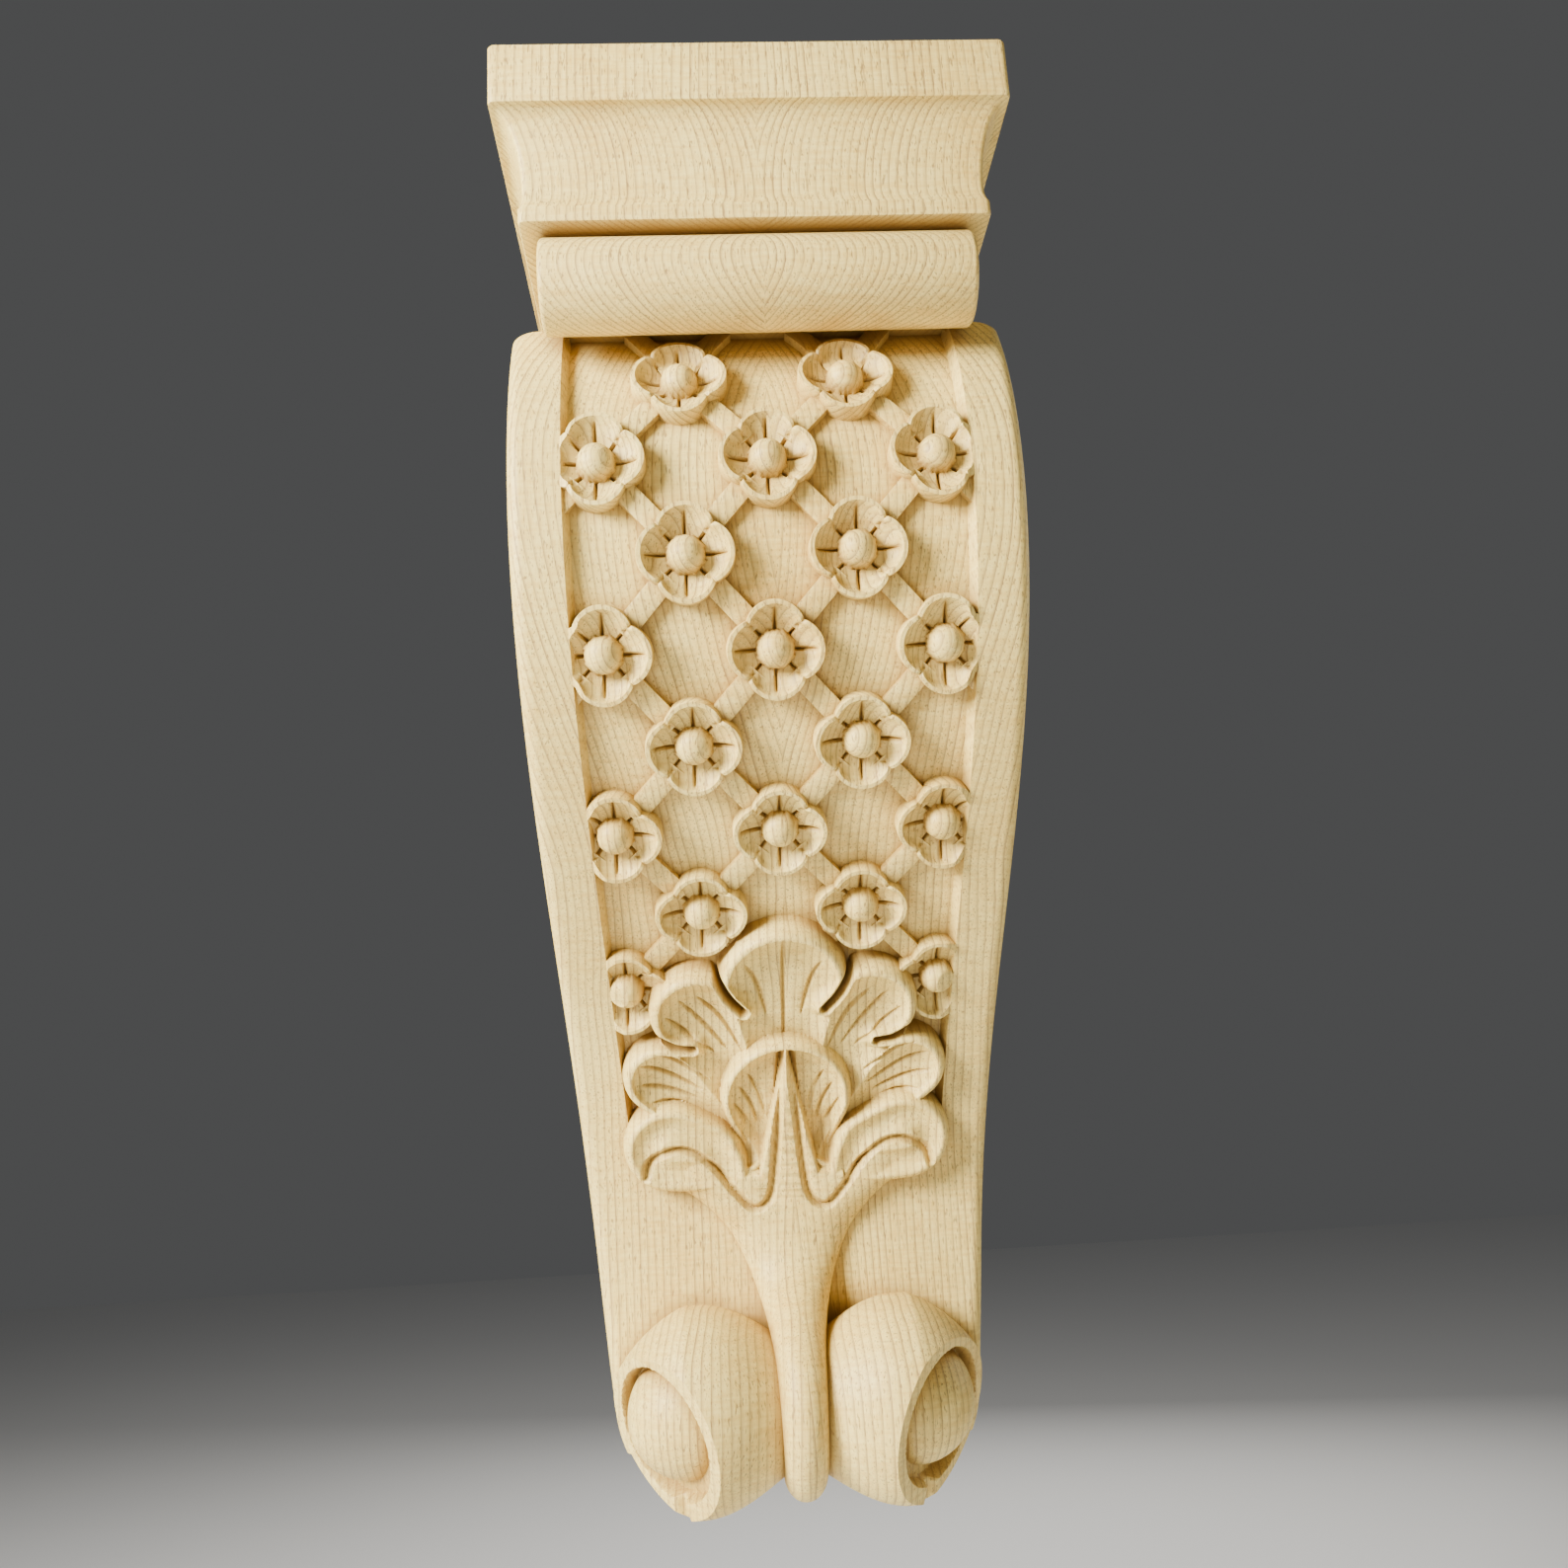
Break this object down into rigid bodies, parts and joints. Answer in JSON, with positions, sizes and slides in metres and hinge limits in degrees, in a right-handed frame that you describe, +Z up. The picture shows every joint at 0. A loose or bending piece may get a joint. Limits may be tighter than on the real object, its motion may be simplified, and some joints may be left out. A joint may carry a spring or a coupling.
{
  "type": "carved wall corbel",
  "caption": "Carved wooden wall corbel: moulded cap over an S-curved body with a flower trellis, a palmette leaf, a stem and two volutes.",
  "frame": {"origin": "middle of the flat back face, where the corbel meets the wall", "axes": "+Z up, +Y into the wall, the carved front faces -Y, +X to the right seen from the front"},
  "size_m": [0.1264, 0.136, 0.3509],
  "materials": {
    "wood": "satin"
  },
  "bodies": {
    "root": {"corbel": "wood"}
  },
  "joints": []
}
